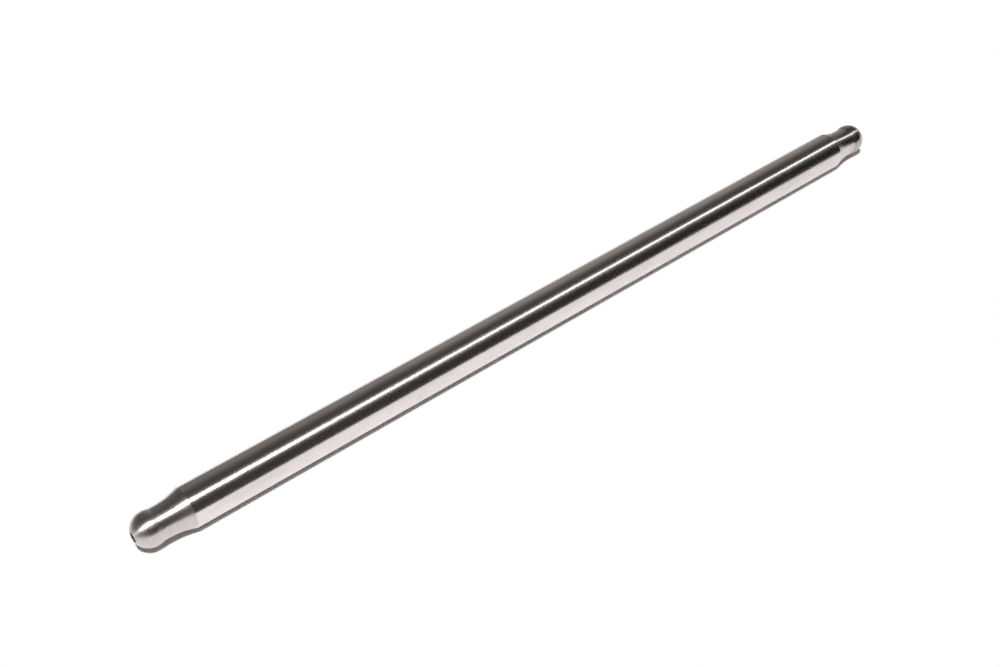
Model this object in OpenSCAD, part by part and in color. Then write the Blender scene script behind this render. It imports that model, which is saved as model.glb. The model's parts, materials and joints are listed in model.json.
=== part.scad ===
// One-piece engine pushrod: a thick-walled steel tube, drawn in at both ends to a neck and a ball,
// with an oil passage along its axis that comes out through a flat on each ball.
// It lies along X with its middle at the origin. The valve lifter's end is at -X, the rocker's at +X.

/* [Tube] */
// Overall length from one tip flat to the other (8.750 in)
overall_length = 222.25; // [180:0.05:280]
// Outside diameter of the straight tube (3/8 in)
tube_d = 9.525; // [8.6:0.0125:12]
// Wall thickness of the straight tube (0.080 in)
tube_wall = 2.032; // [1.2:0.004:3.2]

/* [Ball ends] */
// Diameter of the ball on each end (5/16 in)
ball_d = 7.9375; // [6.5:0.0025:9]
// Depth of the neck below the ball's surface, measured at the ball's widest place
neck_relief = 0.27; // [0.1:0.01:0.6]
// Radius in the corner between ball and neck
neck_fillet_r = 1.5; // [0.5:0.05:3]
// Length of the straight bottom of the neck
neck_land = 0.95; // [0.1:0.05:2]
// Length of the hollow curve that rises from the neck to the edge of the tube
taper_length = 5.8; // [4:0.1:10]

/* [Oil passage] */
// Diameter of the oil hole in each ball (3/32 in)
oil_hole_d = 2.38; // [1.4:0.01:2.8]
// Size of the broken edge around the mouth of the oil hole
mouth_break = 0.1; // [0.05:0.01:0.2]
// Width of the flat ring between the broken edge and the ball's surface
tip_land = 0.1; // [0.05:0.05:0.5]

/* [Hidden] */
$fn = 96;
// How far a cutting shape runs past the face that it cuts
overcut = 1;
// How much of the straight tube is drawn with each end, so that the two join
tube_overlap = 5;

tube_r = tube_d / 2;
bore_r = tube_r - tube_wall;
ball_r = ball_d / 2;
oil_hole_r = oil_hole_d / 2;
mouth_r = oil_hole_r + mouth_break;
tip_flat_r = mouth_r + tip_land;
// Worked-out sizes are kept to whole micrometres, so that sections that meet do so exactly
function to_micrometre(size) = round(size * 1000) / 1000;
// The neck is cut below the smaller of the two rounds that it joins
neck_r = to_micrometre(min(ball_r, tube_r) - neck_relief);

// Places along the axis of one end, from the centre of its ball, with the tip at the positive side
tip_y = to_micrometre(sqrt(pow(ball_r, 2) - pow(tip_flat_r, 2)));
// This one is rounded towards the ball, so that the corner's round never stands clear of it
fillet_y = -floor(1000 * sqrt(pow(ball_r + neck_fillet_r, 2) - pow(neck_r + neck_fillet_r, 2))) / 1000;
taper_y = fillet_y - neck_land;
shoulder_y = taper_y - taper_length;

// The hollow curve runs level into the neck and meets the tube at a crisp edge
shoulder_rise = tube_r - neck_r;
taper_arc_r = to_micrometre((pow(taper_length, 2) + pow(shoulder_rise, 2)) / (2 * shoulder_rise));

// Distance from the middle of the rod to the centre of either ball
ball_offset = overall_length / 2 - tip_y;

// Half section of the ball, cut off by the flat at its tip
module ball_section() {
    intersection() {
        circle(r = ball_r);
        translate([0, -ball_r]) square([ball_r, ball_r + tip_y]);
    }
}

// Half section between the ball and the straight bottom of the neck
module neck_fillet_section() {
    fillet_centre = [neck_r + neck_fillet_r, fillet_y];
    difference() {
        polygon([[0, fillet_y], fillet_centre, [0, 0]]);
        translate(fillet_centre) circle(r = neck_fillet_r);
    }
}

// Half section of the hollow curve, with the end of the straight tube behind it
module taper_section() {
    difference() {
        translate([0, shoulder_y - tube_overlap]) square([tube_r, taper_length + tube_overlap]);
        translate([neck_r + taper_arc_r, taper_y]) circle(r = taper_arc_r);
    }
}

// Half section of the outside of one end
module end_section() {
    ball_section();
    neck_fillet_section();
    translate([0, taper_y]) square([neck_r, neck_land]);
    taper_section();
}

// Half section of the oil hole in one end, and of the cone that opens it out to the bore
module end_passage_section() {
    polygon([
        [0, tip_y + overcut],
        [mouth_r + overcut, tip_y + overcut],
        [oil_hole_r, tip_y - mouth_break],
        [oil_hole_r, taper_y],
        [bore_r, shoulder_y],
        [bore_r, shoulder_y - tube_overlap],
        [0, shoulder_y - tube_overlap]
    ]);
}

// Draws its child at both ends of the rod, each with its tip outwards
module at_both_ends() {
    for (end = [0, 1])
        mirror([0, end])
            translate([0, ball_offset]) children();
}

// Half section of the straight middle of a round of radius r, ending inside what is drawn with the ends
module straight_section(r) {
    straight_length = 2 * (ball_offset + shoulder_y) - tube_overlap;
    translate([0, -straight_length / 2]) square([r, straight_length]);
}

// The whole rod in one solid, turned to lie along X
module pushrod() {
    color([0.60, 0.59, 0.58])
    rotate([0, 90, 0])
    rotate_extrude()
    difference() {
        union() {
            straight_section(tube_r);
            at_both_ends() end_section();
        }
        union() {
            straight_section(bore_r);
            at_both_ends() end_passage_section();
        }
    }
}

pushrod();
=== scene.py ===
"""Engine pushrod: a ground steel rod with a ball on each end, on a white table in a dim studio."""

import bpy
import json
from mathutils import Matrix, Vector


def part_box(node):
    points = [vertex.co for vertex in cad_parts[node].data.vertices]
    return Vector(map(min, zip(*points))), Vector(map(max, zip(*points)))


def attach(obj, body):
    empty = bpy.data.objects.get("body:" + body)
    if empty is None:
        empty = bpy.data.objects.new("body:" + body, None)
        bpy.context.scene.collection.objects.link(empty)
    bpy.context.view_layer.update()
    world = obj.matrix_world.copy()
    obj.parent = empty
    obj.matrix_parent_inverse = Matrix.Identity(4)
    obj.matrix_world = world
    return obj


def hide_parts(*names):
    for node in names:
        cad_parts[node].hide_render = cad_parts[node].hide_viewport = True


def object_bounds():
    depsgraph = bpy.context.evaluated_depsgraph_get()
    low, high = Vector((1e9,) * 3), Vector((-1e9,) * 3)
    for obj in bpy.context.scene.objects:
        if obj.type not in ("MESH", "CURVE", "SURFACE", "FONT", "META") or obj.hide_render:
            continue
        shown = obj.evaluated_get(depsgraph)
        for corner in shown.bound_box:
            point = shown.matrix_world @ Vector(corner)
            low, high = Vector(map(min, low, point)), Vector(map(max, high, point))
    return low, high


bl_info = {
    "name": "Engine pushrod",
    "version": (1, 0, 0),
    "blender": (4, 5, 0),
    "location": "View3D > Sidebar > Pushrod",
    "description": "Models a ground steel pushrod on its CAD frame, with its table and lamps",
    "category": "Object",
}

import json
import math

import bmesh
import bpy
from bpy.props import (
    FloatProperty,
    FloatVectorProperty,
    IntProperty,
    PointerProperty,
)
from mathutils import Matrix, Vector

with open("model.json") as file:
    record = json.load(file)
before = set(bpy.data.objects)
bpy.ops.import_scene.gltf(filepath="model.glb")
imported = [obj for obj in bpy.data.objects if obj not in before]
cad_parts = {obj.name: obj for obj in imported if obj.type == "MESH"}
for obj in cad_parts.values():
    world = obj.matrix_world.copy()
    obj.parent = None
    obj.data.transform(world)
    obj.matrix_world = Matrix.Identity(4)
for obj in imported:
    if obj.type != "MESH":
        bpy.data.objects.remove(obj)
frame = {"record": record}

MM = 0.001

# Corners of the CAD box, kept before any piece is made.
CAD_BOX = [[float(v) for v in corner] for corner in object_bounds()]

# The rod's main sizes come from the record's mounts and the CAD node's box.
MOUNTS = {mount["name"]: mount for mount in frame["record"]["mounts"]}
SHANK = MOUNTS["guide_shank"]["dims"]
OIL_HOLE = MOUNTS["rocker_oil_hole"]["dims"]
BALL_CENTRE_X = MOUNTS["rocker_ball"]["pos_m"][0]
TIP_X = float(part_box("pushrod")[1][0])

# Two places on the profile closer than this are the same ring.
RING_SLACK = 0.002 * MM

# A face whose normal points this squarely at the axis is a wall of the oil passage.
WALL_SQUARENESS = 0.9

# Edges sharper than this stay sharp in the shading.
SHARP_ANGLE = math.radians(35.0)

# A noise texture's values lie mostly between these two.
NOISE_LOW = 0.3
NOISE_HIGH = 0.7


def linear(hex_colour):
    """Linear RGBA of an sRGB hex colour."""
    def channel(byte):
        v = byte / 255
        return v / 12.92 if v <= 0.04045 else ((v + 0.055) / 1.055) ** 2.4

    digits = hex_colour.lstrip("#")
    return tuple(channel(int(digits[i:i + 2], 16)) for i in (0, 2, 4)) + (1.0,)


class RodSettings(bpy.types.PropertyGroup):
    """Sizes of the rod and colours of its steel."""

    tube_radius: FloatProperty(
        name="Tube radius", description="Outside radius of the straight tube",
        default=SHANK["r_mm"] * MM, unit="LENGTH", precision=5)
    shank_length: FloatProperty(
        name="Shank length", description="Straight length between the two shoulders",
        default=SHANK["length_mm"] * MM, unit="LENGTH", precision=5)
    tip_reach: FloatProperty(
        name="Tip reach", description="Distance from the middle to either tip flat",
        default=TIP_X, unit="LENGTH", precision=5)
    ball_reach: FloatProperty(
        name="Ball reach", description="Distance from the middle to either ball's centre",
        default=BALL_CENTRE_X, unit="LENGTH", precision=5)
    ball_radius: FloatProperty(
        name="Ball radius", description="Radius of the ball at each end",
        default=3.96875 * MM, unit="LENGTH", precision=5)
    neck_relief: FloatProperty(
        name="Neck relief", description="How far the neck is turned in below the ball",
        default=0.27 * MM, unit="LENGTH", precision=5)
    neck_fillet: FloatProperty(
        name="Neck fillet", description="Radius of the hollow between the ball and the neck",
        default=1.5 * MM, unit="LENGTH", precision=5)
    taper_length: FloatProperty(
        name="Taper length", description="Length of the hollow taper from shoulder to neck",
        default=5.8 * MM, unit="LENGTH", precision=5)
    oil_hole_radius: FloatProperty(
        name="Oil hole radius", description="Radius of the hole through each ball",
        default=OIL_HOLE["r_mm"] * MM, unit="LENGTH", precision=5)
    oil_hole_length: FloatProperty(
        name="Oil hole length", description="Length of the hole's straight wall",
        default=OIL_HOLE["length_mm"] * MM, unit="LENGTH", precision=5)
    mouth_break: FloatProperty(
        name="Mouth break", description="Small chamfer at the mouth of the oil hole",
        default=0.1 * MM, unit="LENGTH", precision=5)
    bore_radius: FloatProperty(
        name="Bore radius", description="Inside radius of the tube",
        default=2.7305 * MM, unit="LENGTH", precision=5)
    shoulder_round: FloatProperty(
        name="Shoulder rounding", description="Width of the rounding on the shoulder's edge",
        default=0.12 * MM, unit="LENGTH", precision=5)
    tip_round: FloatProperty(
        name="Tip rounding", description="Width of the rounding on the tip flat's edge",
        default=0.06 * MM, unit="LENGTH", precision=5)
    turns: IntProperty(
        name="Steps round", description="Number of faces around the rod", default=240, min=48)
    steel: FloatVectorProperty(
        name="Steel", description="Colour of the clean ground steel",
        default=linear("#E5DDDE"), size=4, subtype="COLOR")
    worn_steel: FloatVectorProperty(
        name="Worn steel", description="Colour of the duller patches",
        default=linear("#DBD3D4"), size=4, subtype="COLOR")
    turned_steel: FloatVectorProperty(
        name="Turned steel", description="Colour of the ends, turned and left duller",
        default=linear("#D2CACB"), size=4, subtype="COLOR")
    # The oil passage's colour is near black: painted shade inside the holes, not the steel's own
    # colour.
    passage: FloatVectorProperty(
        name="Oil passage", description="Colour of the drilled steel inside",
        default=linear("#2A2726"), size=4, subtype="COLOR")


class StudioSettings(bpy.types.PropertyGroup):
    """Camera, lamps and table."""

    aim: FloatVectorProperty(
        name="Aim", description="Point that the camera looks at",
        default=(-16.339 * MM, -0.062 * MM, 0.0), size=3, subtype="TRANSLATION", unit="LENGTH")
    distance: FloatProperty(
        name="Distance", description="From the camera to that point",
        default=311.426 * MM, unit="LENGTH")
    azimuth: FloatProperty(
        name="Azimuth", description="Turn of the camera round the vertical",
        default=math.radians(-38.099), subtype="ANGLE")
    elevation: FloatProperty(
        name="Elevation", description="Height of the camera as an angle above the table",
        default=math.radians(41.206), subtype="ANGLE")
    roll: FloatProperty(
        name="Roll", description="Turn of the picture in its own frame",
        default=math.radians(-1.794), subtype="ANGLE")
    lens: FloatProperty(
        name="Lens", description="Focal length in millimetres on a 36 mm sensor", default=48.199)
    table_colour: FloatVectorProperty(
        name="Table", description="Colour of the table top",
        default=linear("#F1F0EF"), size=4, subtype="COLOR")
    table_radius: FloatProperty(
        name="Table radius", description="Radius of the round table",
        default=3.0, unit="LENGTH")
    table_back: FloatProperty(
        name="Table back", description="From the rod to the edge of the table behind it",
        default=0.06, unit="LENGTH")
    key_distance: FloatProperty(
        name="Key distance", description="From the rod's axis to the key lamp",
        default=0.75, unit="LENGTH")
    key_along: FloatProperty(
        name="Key along", description="Place of the key lamp along the rod, from its middle",
        default=-0.235, unit="LENGTH")
    key_tilt: FloatProperty(
        name="Key tilt", description="Lean of the key lamp from overhead to the camera's side",
        default=math.radians(19.45), subtype="ANGLE")
    key_width: FloatProperty(
        name="Key width", description="Side of the key lamp's square face",
        default=0.067, unit="LENGTH")
    key_light: FloatProperty(
        name="Key light", description="Light that the key lamp throws on the table, 1 for white",
        default=0.97)
    strip_near: FloatVectorProperty(
        name="Strip near end", description="Middle of the strip lamp's edge nearest to the rod",
        default=(0.34, -0.29, 0.852), size=3, subtype="TRANSLATION", unit="LENGTH")
    strip_far: FloatVectorProperty(
        name="Strip far end", description="Middle of the strip lamp's edge farthest from the rod",
        default=(2.1, 0.213, 0.337), size=3, subtype="TRANSLATION", unit="LENGTH")
    strip_width: FloatProperty(
        name="Strip width", description="Width of the strip lamp's face",
        default=0.12, unit="LENGTH")
    strip_glow: FloatProperty(
        name="Strip glow", description="Brightness of the strip lamp's face, 1 for white",
        default=1.9)
    lamp_colour: FloatVectorProperty(
        name="Lamp colour", description="Colour of both lamps' light",
        default=linear("#FAFFFA")[:3], size=3, subtype="COLOR")


def add_node(tree, kind, inputs=None, **settings):
    """Adds a node, applies its settings, and fills or links its inputs."""
    node = tree.nodes.new(kind)
    for name, value in settings.items():
        setattr(node, name, value)
    for name, value in (inputs or {}).items():
        if isinstance(value, bpy.types.NodeSocket):
            tree.links.new(value, node.inputs[name])
        else:
            node.inputs[name].default_value = value
    return node


def new_material(name):
    """An empty node material and its tree."""
    material = bpy.data.materials.new(name)
    material.use_nodes = True
    material.node_tree.nodes.clear()
    return material, material.node_tree


def add_mesh_object(name, bm, *materials):
    """Turns a finished bmesh into an object at the origin."""
    mesh = bpy.data.meshes.new(name)
    bm.to_mesh(mesh)
    bm.free()
    for material in materials:
        mesh.materials.append(material)
    obj = bpy.data.objects.new(name, mesh)
    bpy.context.scene.collection.objects.link(obj)
    return obj


def ground_alloy_steel(rod):
    """Alloy steel: the tube is centreless ground and polished, the ends are turned and duller.

    The tube mirrors the room in clean bands. Fine marks run round the rod, and they draw the
    mirrored lamp out into one line along it and fleck its edges. On the ends that line is wider
    and the bands are greyer, most on the lifter's end, which has the most wear.
    """
    material, tree = new_material("ground_alloy_steel")
    coords = add_node(tree, "ShaderNodeTexCoord")
    at = add_node(tree, "ShaderNodeSeparateXYZ", {"Vector": coords.outputs["Object"]})

    # Where the ends begin: each shoulder is a clear edge between the two finishes.
    shoulder_x = rod.shank_length / 2
    edge = 0.1 * MM
    lifter_end = add_node(
        tree, "ShaderNodeMapRange",
        {"Value": at.outputs["X"], "From Min": -shoulder_x + edge, "From Max": -shoulder_x - edge})
    rocker_end = add_node(
        tree, "ShaderNodeMapRange",
        {"Value": at.outputs["X"], "From Min": shoulder_x - edge, "From Max": shoulder_x + edge})
    # The rocker's ball has a finish of its own, which sets in behind the ball's centre.
    ball_from = rod.ball_reach - 3.5 * MM
    ball_full = rod.ball_reach - 1.0 * MM
    rocker_ball = add_node(
        tree, "ShaderNodeMapRange",
        {"Value": at.outputs["X"], "From Min": ball_from, "From Max": ball_full})

    # Turning marks: rings about 0.08 mm apart on the real rod. They would be finer than a pixel,
    # so they are drawn 0.45 mm apart, and each runs a few millimetres round the rod and fades.
    mark_gap = 0.45 * MM
    mark_run = 6.0 * MM
    mark_depth = 0.008 * MM
    marks_at = add_node(
        tree, "ShaderNodeMapping",
        {"Vector": coords.outputs["Object"],
         "Scale": (1 / mark_gap, 1 / mark_run, 1 / mark_run)})
    marks = add_node(
        tree, "ShaderNodeTexNoise",
        {"Vector": marks_at.outputs["Vector"], "Scale": 1.0, "Detail": 2.0, "Roughness": 0.6})

    # Flecks of the ground skin: about 0.1 mm on the real rod, drawn 0.5 mm wide so that they show.
    fleck_size = 0.5 * MM
    fleck_depth = 0.0025 * MM
    flecks = add_node(
        tree, "ShaderNodeTexNoise",
        {"Vector": coords.outputs["Object"], "Scale": 1 / fleck_size, "Detail": 0.5})

    # Blotches and shallow pits on the worn lifter's end, about 0.9 mm across.
    blotch_size = 0.9 * MM
    pit_depth = 0.013 * MM
    blotches = add_node(
        tree, "ShaderNodeTexNoise",
        {"Vector": coords.outputs["Object"], "Scale": 1 / blotch_size, "Detail": 1.0})

    # Dull patches, some 9 mm long and 3 mm wide, where the belt took less off.
    patch_length = 9.0 * MM
    patch_width = 3.0 * MM
    patch_at = add_node(
        tree, "ShaderNodeMapping",
        {"Vector": coords.outputs["Object"],
         "Scale": (1 / patch_length, 1 / patch_width, 1 / patch_width)})
    patches = add_node(
        tree, "ShaderNodeTexNoise",
        {"Vector": patch_at.outputs["Vector"], "Scale": 1.0, "Detail": 3.0, "Roughness": 0.55})
    worn = add_node(
        tree, "ShaderNodeMapRange",
        {"Value": patches.outputs["Fac"], "From Min": 0.42, "From Max": 0.7})
    tube_colour = add_node(
        tree, "ShaderNodeMix", data_type="RGBA",
        inputs={"Factor": worn.outputs["Result"],
                "A": tuple(rod.steel), "B": tuple(rod.worn_steel)})

    # How dull each end is, with the turned steel's colour as 1. The marks streak it, most on the
    # rocker's ball, where some rings are darker than that and some are as clean as the tube.
    rocker_dullness = 0.4
    streaks = add_node(
        tree, "ShaderNodeMapRange",
        {"Value": marks.outputs["Fac"], "From Min": NOISE_LOW, "From Max": NOISE_HIGH,
         "To Min": 0.8, "To Max": 1.2}, clamp=False)
    ball_streaks = add_node(
        tree, "ShaderNodeMapRange",
        {"Value": marks.outputs["Fac"], "From Min": 0.35, "From Max": 0.65,
         "To Min": 0.0, "To Max": 3.4}, clamp=False)
    end_wear = add_node(
        tree, "ShaderNodeMath", operation="MULTIPLY_ADD",
        inputs={0: rocker_end.outputs["Result"], 1: rocker_dullness,
                2: lifter_end.outputs["Result"]})
    end_dullness = add_node(
        tree, "ShaderNodeMath", operation="MULTIPLY",
        inputs={0: end_wear.outputs["Value"], 1: streaks.outputs["Result"]})
    dullness = add_node(
        tree, "ShaderNodeMath", operation="MULTIPLY_ADD",
        inputs={0: rocker_ball.outputs["Result"], 1: ball_streaks.outputs["Result"],
                2: end_dullness.outputs["Value"]})
    colour = add_node(
        tree, "ShaderNodeMix", data_type="RGBA", clamp_factor=False,
        inputs={"Factor": dullness.outputs["Value"],
                "A": tube_colour.outputs["Result"], "B": tuple(rod.turned_steel)})

    # Roughness: the tube's varies with the flecks. The rocker's end is hardly rougher than the
    # tube, and the lifter's end is much rougher and a little blotchy.
    rocker_wear = 0.015
    tube_roughness = add_node(
        tree, "ShaderNodeMapRange",
        {"Value": flecks.outputs["Fac"], "From Min": NOISE_LOW, "From Max": NOISE_HIGH,
         "To Min": 0.236, "To Max": 0.274})
    rocker_roughness = add_node(
        tree, "ShaderNodeMath", operation="MULTIPLY_ADD",
        inputs={0: rocker_end.outputs["Result"], 1: rocker_wear,
                2: tube_roughness.outputs["Result"]})
    lifter_wear = add_node(
        tree, "ShaderNodeMapRange",
        {"Value": blotches.outputs["Fac"], "From Min": NOISE_LOW, "From Max": NOISE_HIGH,
         "To Min": 0.125, "To Max": 0.165})
    roughness = add_node(
        tree, "ShaderNodeMath", operation="MULTIPLY_ADD",
        inputs={0: lifter_end.outputs["Result"], 1: lifter_wear.outputs["Result"],
                2: rocker_roughness.outputs["Value"]})

    # Relief: flecks all over, turning marks on both ends, pits on the lifter's end, which make the
    # edges of the white line uneven there.
    fleck_relief = add_node(
        tree, "ShaderNodeBump",
        {"Height": flecks.outputs["Fac"], "Strength": 1.0, "Distance": fleck_depth})
    ends = add_node(
        tree, "ShaderNodeMath", operation="ADD",
        inputs={0: lifter_end.outputs["Result"], 1: rocker_end.outputs["Result"]})
    end_marks = add_node(
        tree, "ShaderNodeMath", operation="MULTIPLY",
        inputs={0: marks.outputs["Fac"], 1: ends.outputs["Value"]})
    mark_relief = add_node(
        tree, "ShaderNodeBump",
        {"Height": end_marks.outputs["Value"], "Strength": 1.0, "Distance": mark_depth,
         "Normal": fleck_relief.outputs["Normal"]})
    pits = add_node(
        tree, "ShaderNodeMapRange",
        {"Value": blotches.outputs["Fac"], "From Min": 0.6, "From Max": 0.74,
         "To Min": 0.0, "To Max": -1.0})
    end_pits = add_node(
        tree, "ShaderNodeMath", operation="MULTIPLY",
        inputs={0: pits.outputs["Result"], 1: lifter_end.outputs["Result"]})
    pit_relief = add_node(
        tree, "ShaderNodeBump",
        {"Height": end_pits.outputs["Value"], "Strength": 1.0, "Distance": pit_depth,
         "Normal": mark_relief.outputs["Normal"]})

    # The marks run round the rod, so they spread light along it: a quarter turn from their run.
    quarter_turn = 0.25
    run = add_node(tree, "ShaderNodeTangent", direction_type="RADIAL", axis="X")
    steel = add_node(
        tree, "ShaderNodeBsdfPrincipled",
        {"Base Color": colour.outputs["Result"], "Metallic": 1.0,
         "Roughness": roughness.outputs["Value"], "Normal": pit_relief.outputs["Normal"],
         "Tangent": run.outputs["Tangent"], "Anisotropic": 0.845,
         "Anisotropic Rotation": quarter_turn})
    add_node(tree, "ShaderNodeOutputMaterial", {"Surface": steel.outputs["BSDF"]})
    return material


def drilled_passage_in_painted_shade(rod):
    """Steel as the drill left it, with its colour made near black as painted shade in the holes, so
    that the holes in the balls read as black.
    """
    material, tree = new_material("drilled_passage_in_painted_shade")
    coords = add_node(tree, "ShaderNodeTexCoord")

    # Drill marks: rings a feed of 0.1 mm apart on the real rod, drawn 0.3 mm apart so that they
    # show. Each runs some 3 mm round the wall.
    ring_gap = 0.3 * MM
    ring_run = 3.0 * MM
    ring_depth = 0.01 * MM
    rings_at = add_node(
        tree, "ShaderNodeMapping",
        {"Vector": coords.outputs["Object"], "Scale": (1 / ring_gap, 1 / ring_run, 1 / ring_run)})
    rings = add_node(
        tree, "ShaderNodeTexNoise",
        {"Vector": rings_at.outputs["Vector"], "Scale": 1.0, "Detail": 2.0, "Roughness": 0.6})
    # Both colours are near black. This is painted shade inside the holes, not the steel's own
    # colour.
    colour = add_node(
        tree, "ShaderNodeMix", data_type="RGBA",
        inputs={"Factor": rings.outputs["Fac"],
                "A": tuple(rod.passage), "B": linear("#3A3634")})
    roughness = add_node(
        tree, "ShaderNodeMapRange",
        {"Value": rings.outputs["Fac"], "To Min": 0.5, "To Max": 0.7})
    relief = add_node(
        tree, "ShaderNodeBump",
        {"Height": rings.outputs["Fac"], "Strength": 0.6, "Distance": ring_depth})
    steel = add_node(
        tree, "ShaderNodeBsdfPrincipled",
        {"Base Color": colour.outputs["Result"], "Metallic": 1.0,
         "Roughness": roughness.outputs["Result"], "Normal": relief.outputs["Normal"]})
    add_node(tree, "ShaderNodeOutputMaterial", {"Surface": steel.outputs["BSDF"]})
    return material


def draw_line(bm, last, x, radius):
    """Carries the profile on in a straight line, and returns its new last vertex."""
    vert = bmesh.ops.extrude_vert_indiv(bm, verts=[last])["verts"][0]
    vert.co = (x, 0.0, radius)
    return vert


def draw_arc(bm, last, x, radius, angle, steps):
    """Carries the profile on round a centre at (x, radius), and returns its new last vertex."""
    swept = bmesh.ops.spin(
        bm, geom=[last], cent=(x, 0.0, radius), axis=(0.0, 1.0, 0.0), angle=angle, steps=steps)
    return next(g for g in swept["geom_last"] if isinstance(g, bmesh.types.BMVert))


def ring_edges(bm, x, radius):
    """Edges of the rings at one place on the profile, on both ends of the rod."""
    def on_ring(vert):
        across = math.hypot(vert.co.y, vert.co.z)
        return abs(abs(vert.co.x) - x) < RING_SLACK and abs(across - radius) < RING_SLACK

    return [e for e in bm.edges if on_ring(e.verts[0]) and on_ring(e.verts[1])]


class PUSHROD_OT_rod(bpy.types.Operator):
    """Model the steel rod from one spun profile"""

    bl_idname = "pushrod.rod"
    bl_label = "Steel rod"

    def execute(self, context):
        rod = context.scene.pushrod_rod
        tube_r = rod.tube_radius
        neck_r = min(rod.ball_radius, tube_r) - rod.neck_relief
        shoulder_x = rod.shank_length / 2
        taper_end_x = shoulder_x + rod.taper_length
        rise = tube_r - neck_r
        taper_arc = (rod.taper_length ** 2 + rise ** 2) / (2 * rise)
        fillet_out = neck_r + rod.neck_fillet
        fillet_back = math.sqrt((rod.ball_radius + rod.neck_fillet) ** 2 - fillet_out ** 2)
        fillet_angle = math.atan2(fillet_back, fillet_out)
        tip_half = rod.tip_reach - rod.ball_reach
        flat_r = math.sqrt(rod.ball_radius ** 2 - tip_half ** 2)
        mouth_x = rod.tip_reach - rod.mouth_break
        hole_end_x = mouth_x - rod.oil_hole_length

        # One half of the section, from the middle of the tube round the tip and back inside.
        bm = bmesh.new()
        last = bm.verts.new((0.0, 0.0, tube_r))
        # A ring just short of the shoulder keeps the tube's shading straight up to its edge.
        last = draw_line(bm, last, shoulder_x - 3 * rod.shoulder_round, tube_r)
        last = draw_line(bm, last, shoulder_x, tube_r)
        taper_angle = math.asin(rod.taper_length / taper_arc)
        last = draw_arc(bm, last, taper_end_x, neck_r + taper_arc, -taper_angle, steps=20)
        fillet_x = rod.ball_reach - fillet_back
        last = draw_line(bm, last, fillet_x, neck_r)
        last = draw_arc(bm, last, fillet_x, fillet_out, -fillet_angle, steps=6)
        ball_angle = fillet_angle + math.pi / 2 - math.atan2(flat_r, tip_half)
        last = draw_arc(bm, last, rod.ball_reach, 0.0, ball_angle, steps=36)
        last = draw_line(bm, last, rod.tip_reach, rod.oil_hole_radius + rod.mouth_break)
        last = draw_line(bm, last, mouth_x, rod.oil_hole_radius)
        last = draw_line(bm, last, hole_end_x, rod.oil_hole_radius)
        last = draw_line(bm, last, shoulder_x, rod.bore_radius)
        draw_line(bm, last, 0.0, rod.bore_radius)
        # The long walls of the tube and its bore are cut into shorter faces.
        long_edges = [e for e in bm.edges if e.calc_length() > shoulder_x / 2]
        bmesh.ops.subdivide_edges(bm, edges=long_edges, cuts=15)

        # The other half, then the full turn about the rod's axis.
        bmesh.ops.mirror(
            bm, geom=bm.verts[:] + bm.edges[:], matrix=Matrix.Identity(4),
            merge_dist=RING_SLACK, axis="X")
        bmesh.ops.spin(
            bm, geom=bm.verts[:] + bm.edges[:], cent=(0.0, 0.0, 0.0), axis=(1.0, 0.0, 0.0),
            angle=math.tau, steps=rod.turns, use_merge=True)
        bmesh.ops.remove_doubles(bm, verts=bm.verts[:], dist=RING_SLACK / 10)
        bmesh.ops.recalc_face_normals(bm, faces=bm.faces[:])

        # Tool-turned edges are never knife sharp.
        for x, radius, width in (
            (shoulder_x, tube_r, rod.shoulder_round),
            (rod.tip_reach, flat_r, rod.tip_round),
        ):
            edges = ring_edges(bm, x, radius)
            if len(edges) != 2 * rod.turns:
                raise RuntimeError(f"{len(edges)} edges on the rings at {x:.5f} m")
            bmesh.ops.bevel(
                bm, geom=edges, offset=width / 2, offset_type="OFFSET", affect="EDGES",
                segments=3, profile=0.5, material=-1)

        # The walls that face the axis are the oil passage.
        for face in bm.faces:
            middle = face.calc_center_median()
            inward = -(face.normal.y * middle.y + face.normal.z * middle.z)
            if inward > WALL_SQUARENESS * math.hypot(middle.y, middle.z):
                face.material_index = 1

        obj = add_mesh_object("steel_rod", bm, ground_alloy_steel(rod), drilled_passage_in_painted_shade(rod))
        obj.data.shade_smooth()
        obj.data.set_sharp_from_angle(angle=SHARP_ANGLE)
        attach(obj, "root")
        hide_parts("pushrod")
        return {"FINISHED"}


def white_seen(tree, mirror_share):
    """How much plain white a ray sees: all of it from the camera, a share by way of a mirror."""
    path = add_node(tree, "ShaderNodeLightPath")
    mirrored = add_node(
        tree, "ShaderNodeMath", operation="MAXIMUM",
        inputs={0: path.outputs["Is Glossy Ray"], 1: path.outputs["Is Transmission Ray"]})
    seen = add_node(
        tree, "ShaderNodeMath", operation="MULTIPLY_ADD",
        inputs={0: mirrored.outputs["Value"], 1: mirror_share, 2: path.outputs["Is Camera Ray"]})
    return seen.outputs["Value"]


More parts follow.
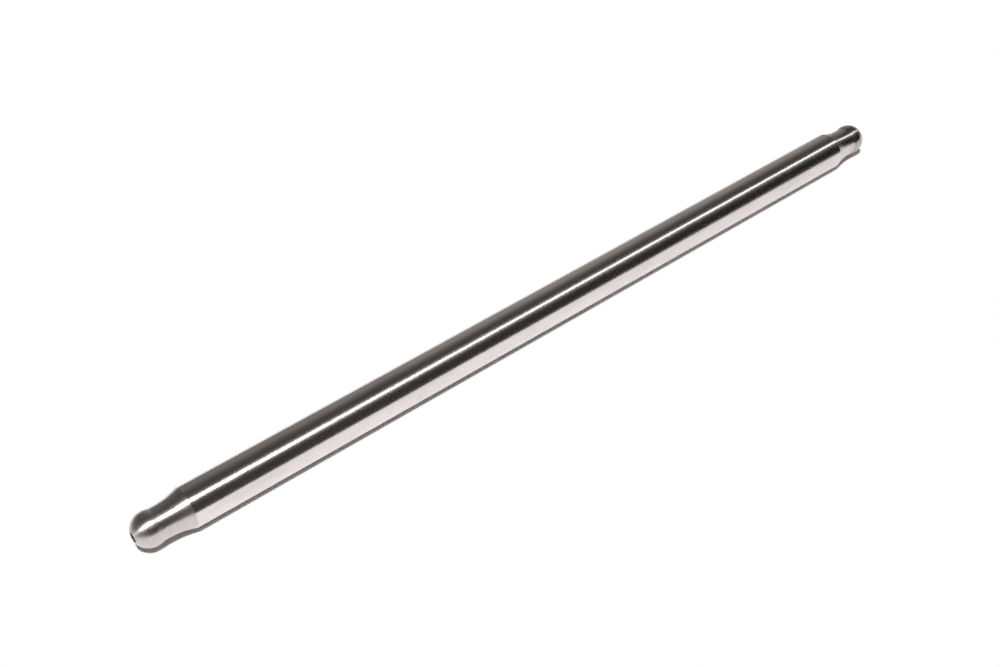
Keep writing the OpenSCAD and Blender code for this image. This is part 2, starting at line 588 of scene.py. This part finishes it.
def white_table(colour, line_half_length):
    """Matt white laminate: an even white that keeps the dark line of the rod's shadow.

    Close to the line under the rod, the eye meets the lit laminate and the shadow on it. A few
    millimetres away the table is plain white to the camera, and nearly so to the steel.
    """
    material, tree = new_material("white_table_laminate")
    coords = add_node(tree, "ShaderNodeTexCoord")
    mottle_size = 40.0 * MM
    mottle = add_node(
        tree, "ShaderNodeTexNoise",
        {"Vector": coords.outputs["Object"], "Scale": 1 / mottle_size, "Detail": 2.0})
    tone = add_node(
        tree, "ShaderNodeMix", data_type="RGBA",
        inputs={"Factor": mottle.outputs["Fac"], "A": tuple(colour), "B": linear("#F5F5F4")})
    lit = add_node(tree, "ShaderNodeBsdfDiffuse", {"Color": tone.outputs["Result"]})
    white = add_node(tree, "ShaderNodeEmission", {"Strength": 1.0})

    # The distance of a place on the table from the line under the rod.
    at = add_node(tree, "ShaderNodeSeparateXYZ", {"Vector": coords.outputs["Object"]})
    along = add_node(
        tree, "ShaderNodeMath", operation="ABSOLUTE", inputs={0: at.outputs["X"]})
    past_end = add_node(
        tree, "ShaderNodeMath", operation="SUBTRACT",
        inputs={0: along.outputs["Value"], 1: line_half_length})
    beyond = add_node(
        tree, "ShaderNodeMath", operation="MAXIMUM", inputs={0: past_end.outputs["Value"], 1: 0.0})
    offset = add_node(
        tree, "ShaderNodeCombineXYZ", {"X": beyond.outputs["Value"], "Y": at.outputs["Y"]})
    gap = add_node(
        tree, "ShaderNodeVectorMath", operation="LENGTH", inputs={0: offset.outputs["Vector"]})
    # The rod's ends are slimmer than the tube, and so is the strip that keeps the shadow there.
    slim_from = -11.0 * MM
    slim_full = -6.0 * MM
    slimmer_by = 1.0 * MM
    slimming = add_node(
        tree, "ShaderNodeMapRange",
        {"Value": past_end.outputs["Value"], "From Min": slim_from, "From Max": slim_full,
         "To Min": 0.0, "To Max": slimmer_by})
    clear = add_node(
        tree, "ShaderNodeMath", operation="ADD",
        inputs={0: gap.outputs["Value"], 1: slimming.outputs["Result"]})

    # Painted light: a little white glow is mixed into the shadow, more towards the rocker's end, so
    # that the shadow is a little paler there.
    paler_from = -40.0 * MM
    paler_full = 100.0 * MM
    painted_light_share = 0.035
    painted_light_in_shadow = add_node(
        tree, "ShaderNodeMapRange",
        {"Value": at.outputs["X"], "From Min": paler_from, "From Max": paler_full,
         "To Max": painted_light_share})

    # Outside the strip of shadow, plain white takes over within a millimetre.
    strip_edge = 2.95 * MM
    white_from = 3.75 * MM
    white_share = add_node(
        tree, "ShaderNodeMapRange", interpolation_type="SMOOTHSTEP",
        inputs={"Value": clear.outputs["Value"], "From Min": strip_edge, "From Max": white_from,
                "To Min": painted_light_in_shadow.outputs["Result"]})

    # The rod mirrors the lit surface, topped up so that it stays pale into the distance.
    mirror_share = 0.6
    share = add_node(
        tree, "ShaderNodeMath", operation="MULTIPLY",
        inputs={0: white_seen(tree, mirror_share), 1: white_share.outputs["Result"]})
    mixed = add_node(
        tree, "ShaderNodeMixShader",
        {"Fac": share.outputs["Value"], 1: lit.outputs["BSDF"], 2: white.outputs["Emission"]})
    add_node(tree, "ShaderNodeOutputMaterial", {"Surface": mixed.outputs["Shader"]})
    return material


def dim_room(scene):
    """A dim room, darkest past the rocker's end, with a paler wall behind the rod.

    The rod mirrors it as its dark bands. The camera sees plain white in its place, and so do
    mirrored rays that look down past the table's edge.
    """
    world = bpy.data.worlds.new("dim_room")
    world.use_nodes = True
    scene.world = world
    tree = world.node_tree
    tree.nodes.clear()
    coords = add_node(tree, "ShaderNodeTexCoord")
    way = add_node(tree, "ShaderNodeSeparateXYZ", {"Vector": coords.outputs["Generated"]})

    # The paler wall, and how fast it falls off to its sides.
    wall_way = (0.62, 0.74, 0.258)
    wall_level = 0.335
    wall_falloff = 7.5
    facing = add_node(
        tree, "ShaderNodeVectorMath", operation="DOT_PRODUCT",
        inputs={0: coords.outputs["Generated"], 1: wall_way})
    towards = add_node(
        tree, "ShaderNodeMath", operation="MAXIMUM", inputs={0: facing.outputs["Value"], 1: 0.0})
    wall = add_node(
        tree, "ShaderNodeMath", operation="POWER",
        inputs={0: towards.outputs["Value"], 1: wall_falloff})

    # The rest darkens from the lifter's side to the rocker's, and drops off at its far end.
    gloom = add_node(
        tree, "ShaderNodeMapRange",
        {"Value": way.outputs["X"], "From Min": -0.6, "From Max": 0.75,
         "To Min": 0.105, "To Max": 0.006})
    end_shade = add_node(
        tree, "ShaderNodeMapRange",
        {"Value": way.outputs["X"], "From Min": 0.56, "From Max": 0.7,
         "To Min": 1.0, "To Max": 0.1})
    shaded = add_node(
        tree, "ShaderNodeMath", operation="MULTIPLY",
        inputs={0: gloom.outputs["Result"], 1: end_shade.outputs["Result"]})
    level = add_node(
        tree, "ShaderNodeMath", operation="MULTIPLY_ADD",
        inputs={0: wall.outputs["Value"], 1: wall_level, 2: shaded.outputs["Value"]})
    room = add_node(
        tree, "ShaderNodeBackground",
        {"Color": linear("#FFFCF3"), "Strength": level.outputs["Value"]})

    # The room reaches a few degrees below the table's height, and all below that is white.
    white_starts = -0.06
    white_full = -0.12
    white = add_node(tree, "ShaderNodeBackground", {"Color": linear("#FFFFFF"), "Strength": 1.0})
    below = add_node(
        tree, "ShaderNodeMapRange",
        {"Value": way.outputs["Z"], "From Min": white_starts, "From Max": white_full})
    mixed = add_node(
        tree, "ShaderNodeMixShader",
        {"Fac": white_seen(tree, below.outputs["Result"]), 1: room.outputs["Background"],
         2: white.outputs["Background"]})
    add_node(tree, "ShaderNodeOutputWorld", {"Surface": mixed.outputs["Shader"]})


def add_area_lamp(scene, name, place, aim, size, radiance, colour, along=(1.0, 0.0, 0.0)):
    """A rectangular lamp whose face has the given brightness and whose long side follows along."""
    data = bpy.data.lights.new(name, "AREA")
    data.shape = "RECTANGLE"
    length, width = size
    data.size, data.size_y = length, width
    # The power of an area lamp is pi times its face's brightness and area.
    data.energy = radiance * math.pi * length * width
    data.color = colour
    lamp = bpy.data.objects.new(name, data)
    back = (Vector(place) - Vector(aim)).normalized()
    side = (Vector(along) - back * Vector(along).dot(back)).normalized()
    turn = Matrix((side, back.cross(side), back)).transposed()
    lamp.matrix_world = Matrix.Translation(place) @ turn.to_4x4()
    scene.collection.objects.link(lamp)


class PUSHROD_OT_studio(bpy.types.Operator):
    """Set the table, the lamps, the room and the camera"""

    bl_idname = "pushrod.studio"
    bl_label = "Studio"

    def execute(self, context):
        scene = context.scene
        studio = scene.pushrod_studio
        scene.view_settings.view_transform = "Standard"

        # The table touches the underside of the tube and ends a little way behind the rod. Its
        # strip of shadow follows a line that ends a little past the centre of each ball.
        line_half_length = BALL_CENTRE_X + 3.2 * MM
        bm = bmesh.new()
        bmesh.ops.create_circle(bm, cap_ends=True, segments=256, radius=studio.table_radius)
        bmesh.ops.translate(
            bm, verts=bm.verts[:],
            vec=(0.0, studio.table_back - studio.table_radius, CAD_BOX[0][2]))
        table = add_mesh_object("table_top", bm, white_table(studio.table_colour, line_half_length))

        dim_room(scene)

        # The key lamp overhead draws the white line along the rod, lights the table and throws the
        # dark line under the rod. Its face is as bright as its light on the table asks for.
        key = Vector((
            studio.key_along, -studio.key_distance * math.sin(studio.key_tilt),
            studio.key_distance * math.cos(studio.key_tilt)))
        key_spread = key.length ** 3 / (key.z * studio.key_width ** 2)
        add_area_lamp(
            scene, "key_lamp", key, (0.0, 0.0, 0.0), (studio.key_width, studio.key_width),
            studio.key_light * math.pi * key_spread, studio.lamp_colour)

        # A weak strip lamp carries the white line on over the rocker's end. It faces the place on
        # the rod's axis that lies square to its own run.
        near, far = Vector(studio.strip_near), Vector(studio.strip_far)
        run = far - near
        middle = (near + far) / 2
        add_area_lamp(
            scene, "strip_lamp", middle, (middle.dot(run) / run.x, 0.0, 0.0),
            (run.length, studio.strip_width), studio.strip_glow, studio.lamp_colour, along=run)

        data = bpy.data.cameras.new("camera")
        data.lens = studio.lens
        data.sensor_fit = "HORIZONTAL"
        data.sensor_width = 36.0
        data.clip_start = 0.01
        camera = bpy.data.objects.new("camera", data)
        # The camera is held a little out of level, so it has a roll.
        turn = (
            Matrix.Rotation(studio.azimuth, 4, "Z")
            @ Matrix.Rotation(math.pi / 2 - studio.elevation, 4, "X")
            @ Matrix.Rotation(studio.roll, 4, "Z"))
        back = turn @ Vector((0.0, 0.0, studio.distance))
        camera.matrix_world = Matrix.Translation(Vector(studio.aim) + back) @ turn
        scene.collection.objects.link(camera)
        scene.camera = camera
        return {"FINISHED"}


class PUSHROD_PT_panel(bpy.types.Panel):
    """Sizes, colours and steps of the pushrod"""

    bl_idname = "PUSHROD_PT_panel"
    bl_label = "Pushrod"
    bl_space_type = "VIEW_3D"
    bl_region_type = "UI"
    bl_category = "Pushrod"

    def draw(self, context):
        for settings, operator in (
            (context.scene.pushrod_rod, PUSHROD_OT_rod),
            (context.scene.pushrod_studio, PUSHROD_OT_studio),
        ):
            column = self.layout.column()
            for name in settings.__annotations__:
                column.prop(settings, name)
            column.operator(operator.bl_idname)


CLASSES = (RodSettings, StudioSettings, PUSHROD_OT_rod, PUSHROD_OT_studio, PUSHROD_PT_panel)


def register():
    """Makes the settings, operators and panel known to Blender."""
    for cls in CLASSES:
        bpy.utils.register_class(cls)
    bpy.types.Scene.pushrod_rod = PointerProperty(type=RodSettings)
    bpy.types.Scene.pushrod_studio = PointerProperty(type=StudioSettings)


def unregister():
    """Takes them out again, in the reverse order."""
    del bpy.types.Scene.pushrod_studio
    del bpy.types.Scene.pushrod_rod
    for cls in reversed(CLASSES):
        bpy.utils.unregister_class(cls)


def main():
    register()
    bpy.ops.pushrod.rod()
    bpy.ops.pushrod.studio()


if __name__ == "__main__":
    main()
